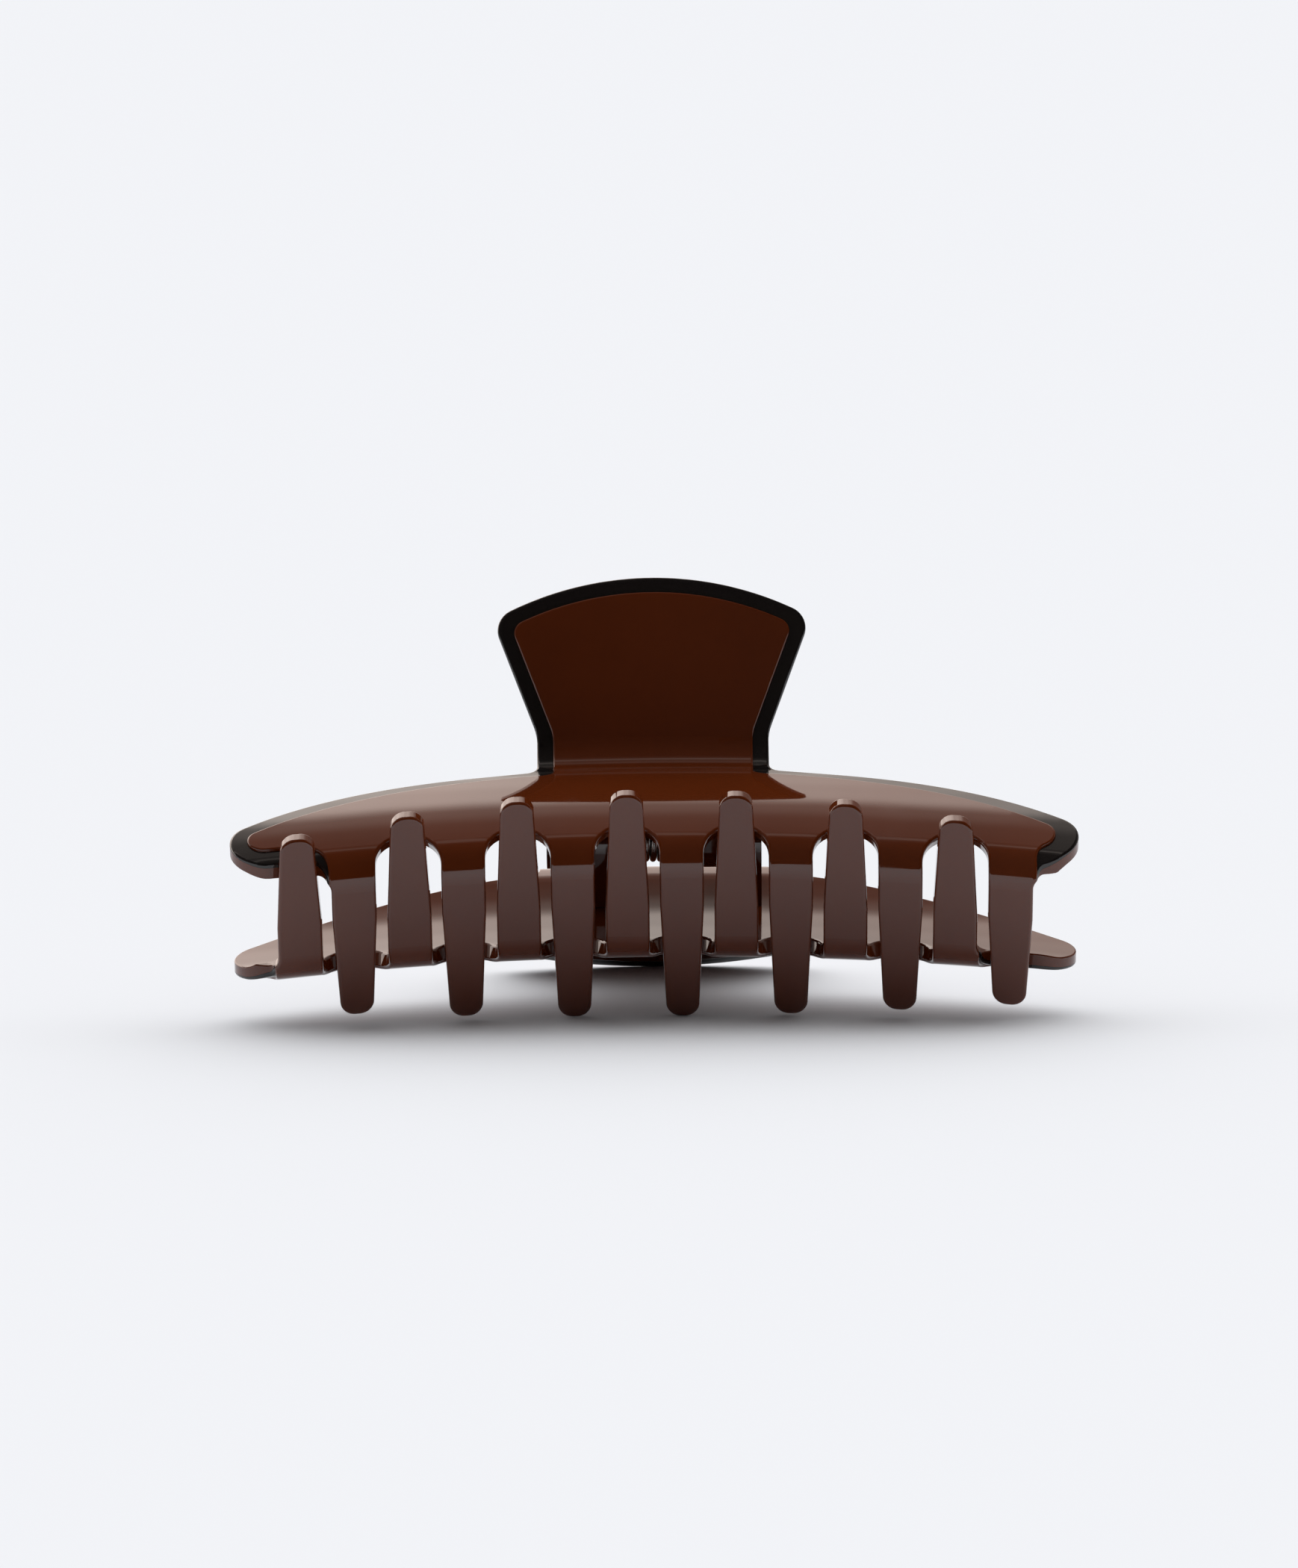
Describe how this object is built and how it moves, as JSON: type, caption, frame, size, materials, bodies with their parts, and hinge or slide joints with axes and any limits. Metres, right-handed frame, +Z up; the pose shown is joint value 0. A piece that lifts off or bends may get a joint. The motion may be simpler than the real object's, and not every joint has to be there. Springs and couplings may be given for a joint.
{
  "type": "hair clip",
  "caption": "Bowed two-jaw hair claw clip: interlocking teeth, flared finger tabs, contrasting inlaid rims and a sprung hinge.",
  "frame": {"origin": "centre of the bounding box's foot, on the surface that the closed clip rests on", "axes": "+X along the clip, +Y from the toothed front to the finger tabs, +Z up"},
  "size_m": [0.11, 0.0562, 0.0554],
  "materials": {
    "brown_plastic": "polished",
    "black_plastic": "polished",
    "spring_steel": "satin"
  },
  "bodies": {
    "lower": {"lower_jaw": "brown_plastic", "lower_border": "black_plastic", "hinge_pin": "spring_steel", "torsion_spring": "spring_steel"},
    "upper": {"upper_jaw": "brown_plastic", "upper_border": "black_plastic"}
  },
  "joints": [
    {"name": "jaw_hinge", "type": "hinge", "parent": "lower", "child": "upper", "pos_m": [0, -0.00157, 0.02124], "axis": [-1, 0, 0], "range_deg": [0, 60], "stiffness_Nm_per_rad": 0.08, "springref_deg": -45.84, "deforming": ["torsion_spring"]}
  ]
}
